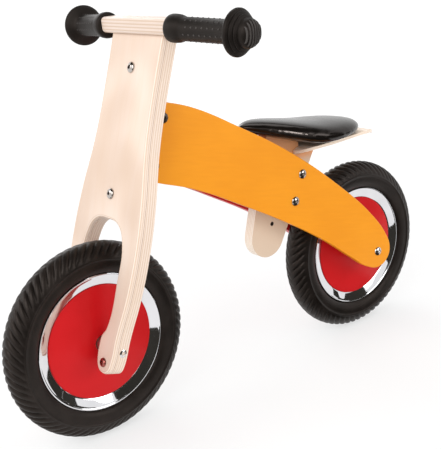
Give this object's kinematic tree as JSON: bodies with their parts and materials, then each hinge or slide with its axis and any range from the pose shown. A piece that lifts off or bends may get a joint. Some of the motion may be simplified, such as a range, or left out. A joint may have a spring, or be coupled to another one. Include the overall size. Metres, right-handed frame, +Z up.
{
  "type": "balance bike",
  "caption": "Child's balance bike: plywood fork and bar with rubber grips, painted plywood beams, padded saddle on a bolted plank, dished disc wheels with pneumatic tyres.",
  "frame": {"origin": "on the ground, midway between the two axles, which is the bottom centre of the bounding box", "axes": "+X forward along the bike, +Y to the rider's left, +Z up"},
  "size_m": [0.8507, 0.4438, 0.6205],
  "materials": {
    "birch_plywood": "clear lacquered birch plywood, plies seen on the edges",
    "orange_paint": "plywood with a satin orange painted face",
    "red_paint": "gloss red paint on pressed steel discs",
    "red_wood_paint": "plywood with satin red paint",
    "tyre_rubber": "matt black rubber",
    "grip_rubber": "soft dark grey rubber",
    "saddle_vinyl": "glossy black vinyl over foam",
    "chrome": "bright plate",
    "zinc_steel": "zinc plated",
    "nylon": "natural nylon"
  },
  "bodies": {
    "frame": {"left_beam": "orange_paint", "right_beam": "red_wood_paint", "head_block": "birch_plywood", "upper_pivot_bush": "nylon", "lower_pivot_bush": "nylon", "left_upper_head_screw": "zinc_steel", "left_lower_head_screw": "zinc_steel", "right_upper_head_screw": "zinc_steel", "right_lower_head_screw": "zinc_steel", "seat_post": "birch_plywood", "seat_board": "birch_plywood", "saddle": "saddle_vinyl", "left_seat_guide": "birch_plywood", "right_seat_guide": "birch_plywood", "upper_seat_bolt": "chrome", "lower_seat_bolt": "chrome", "upper_seat_nut": "chrome", "lower_seat_nut": "chrome", "front_seat_board_screw": "zinc_steel", "rear_seat_board_screw": "zinc_steel", "rear_axle": "zinc_steel", "rear_left_spacer": "zinc_steel", "rear_right_spacer": "zinc_steel", "rear_left_axle_bolt": "chrome", "rear_right_axle_bolt": "chrome"},
    "fork": {"fork_front_board": "birch_plywood", "fork_back_board": "birch_plywood", "steering_bracket": "zinc_steel", "steering_pivot_bolt": "zinc_steel", "steering_pivot_nut": "zinc_steel", "upper_fork_bolt": "chrome", "lower_fork_bolt": "chrome", "left_foot_bolt": "chrome", "right_foot_bolt": "chrome", "handlebar": "birch_plywood", "left_grip": "grip_rubber", "right_grip": "grip_rubber", "left_handlebar_dowel": "birch_plywood", "right_handlebar_dowel": "birch_plywood", "front_axle": "zinc_steel", "front_left_spacer": "zinc_steel", "front_right_spacer": "zinc_steel", "front_left_axle_bolt": "chrome", "front_right_axle_bolt": "chrome"},
    "front_wheel": {"front_tyre": "tyre_rubber", "front_inner_tube": "tyre_rubber", "front_rim": "chrome", "front_left_disc": "red_paint", "front_right_disc": "red_paint", "front_hub": "nylon", "front_left_bearing": "zinc_steel", "front_right_bearing": "zinc_steel"},
    "rear_wheel": {"rear_tyre": "tyre_rubber", "rear_inner_tube": "tyre_rubber", "rear_rim": "chrome", "rear_left_disc": "red_paint", "rear_right_disc": "red_paint", "rear_hub": "nylon", "rear_left_bearing": "zinc_steel", "rear_right_bearing": "zinc_steel"}
  },
  "joints": [
    {"name": "steering", "type": "hinge", "parent": "frame", "child": "fork", "pos_m": [0.14369, 0, 0.42465], "axis": [-0.3239, 0, 0.9461], "range_deg": [-30, 30]},
    {"name": "front_wheel_spin", "type": "hinge", "parent": "fork", "child": "front_wheel", "pos_m": [0.2735, 0, 0.152], "axis": [0, 1, 0], "continuous": true},
    {"name": "rear_wheel_spin", "type": "hinge", "parent": "frame", "child": "rear_wheel", "pos_m": [-0.2735, 0, 0.152], "axis": [0, 1, 0], "continuous": true}
  ]
}
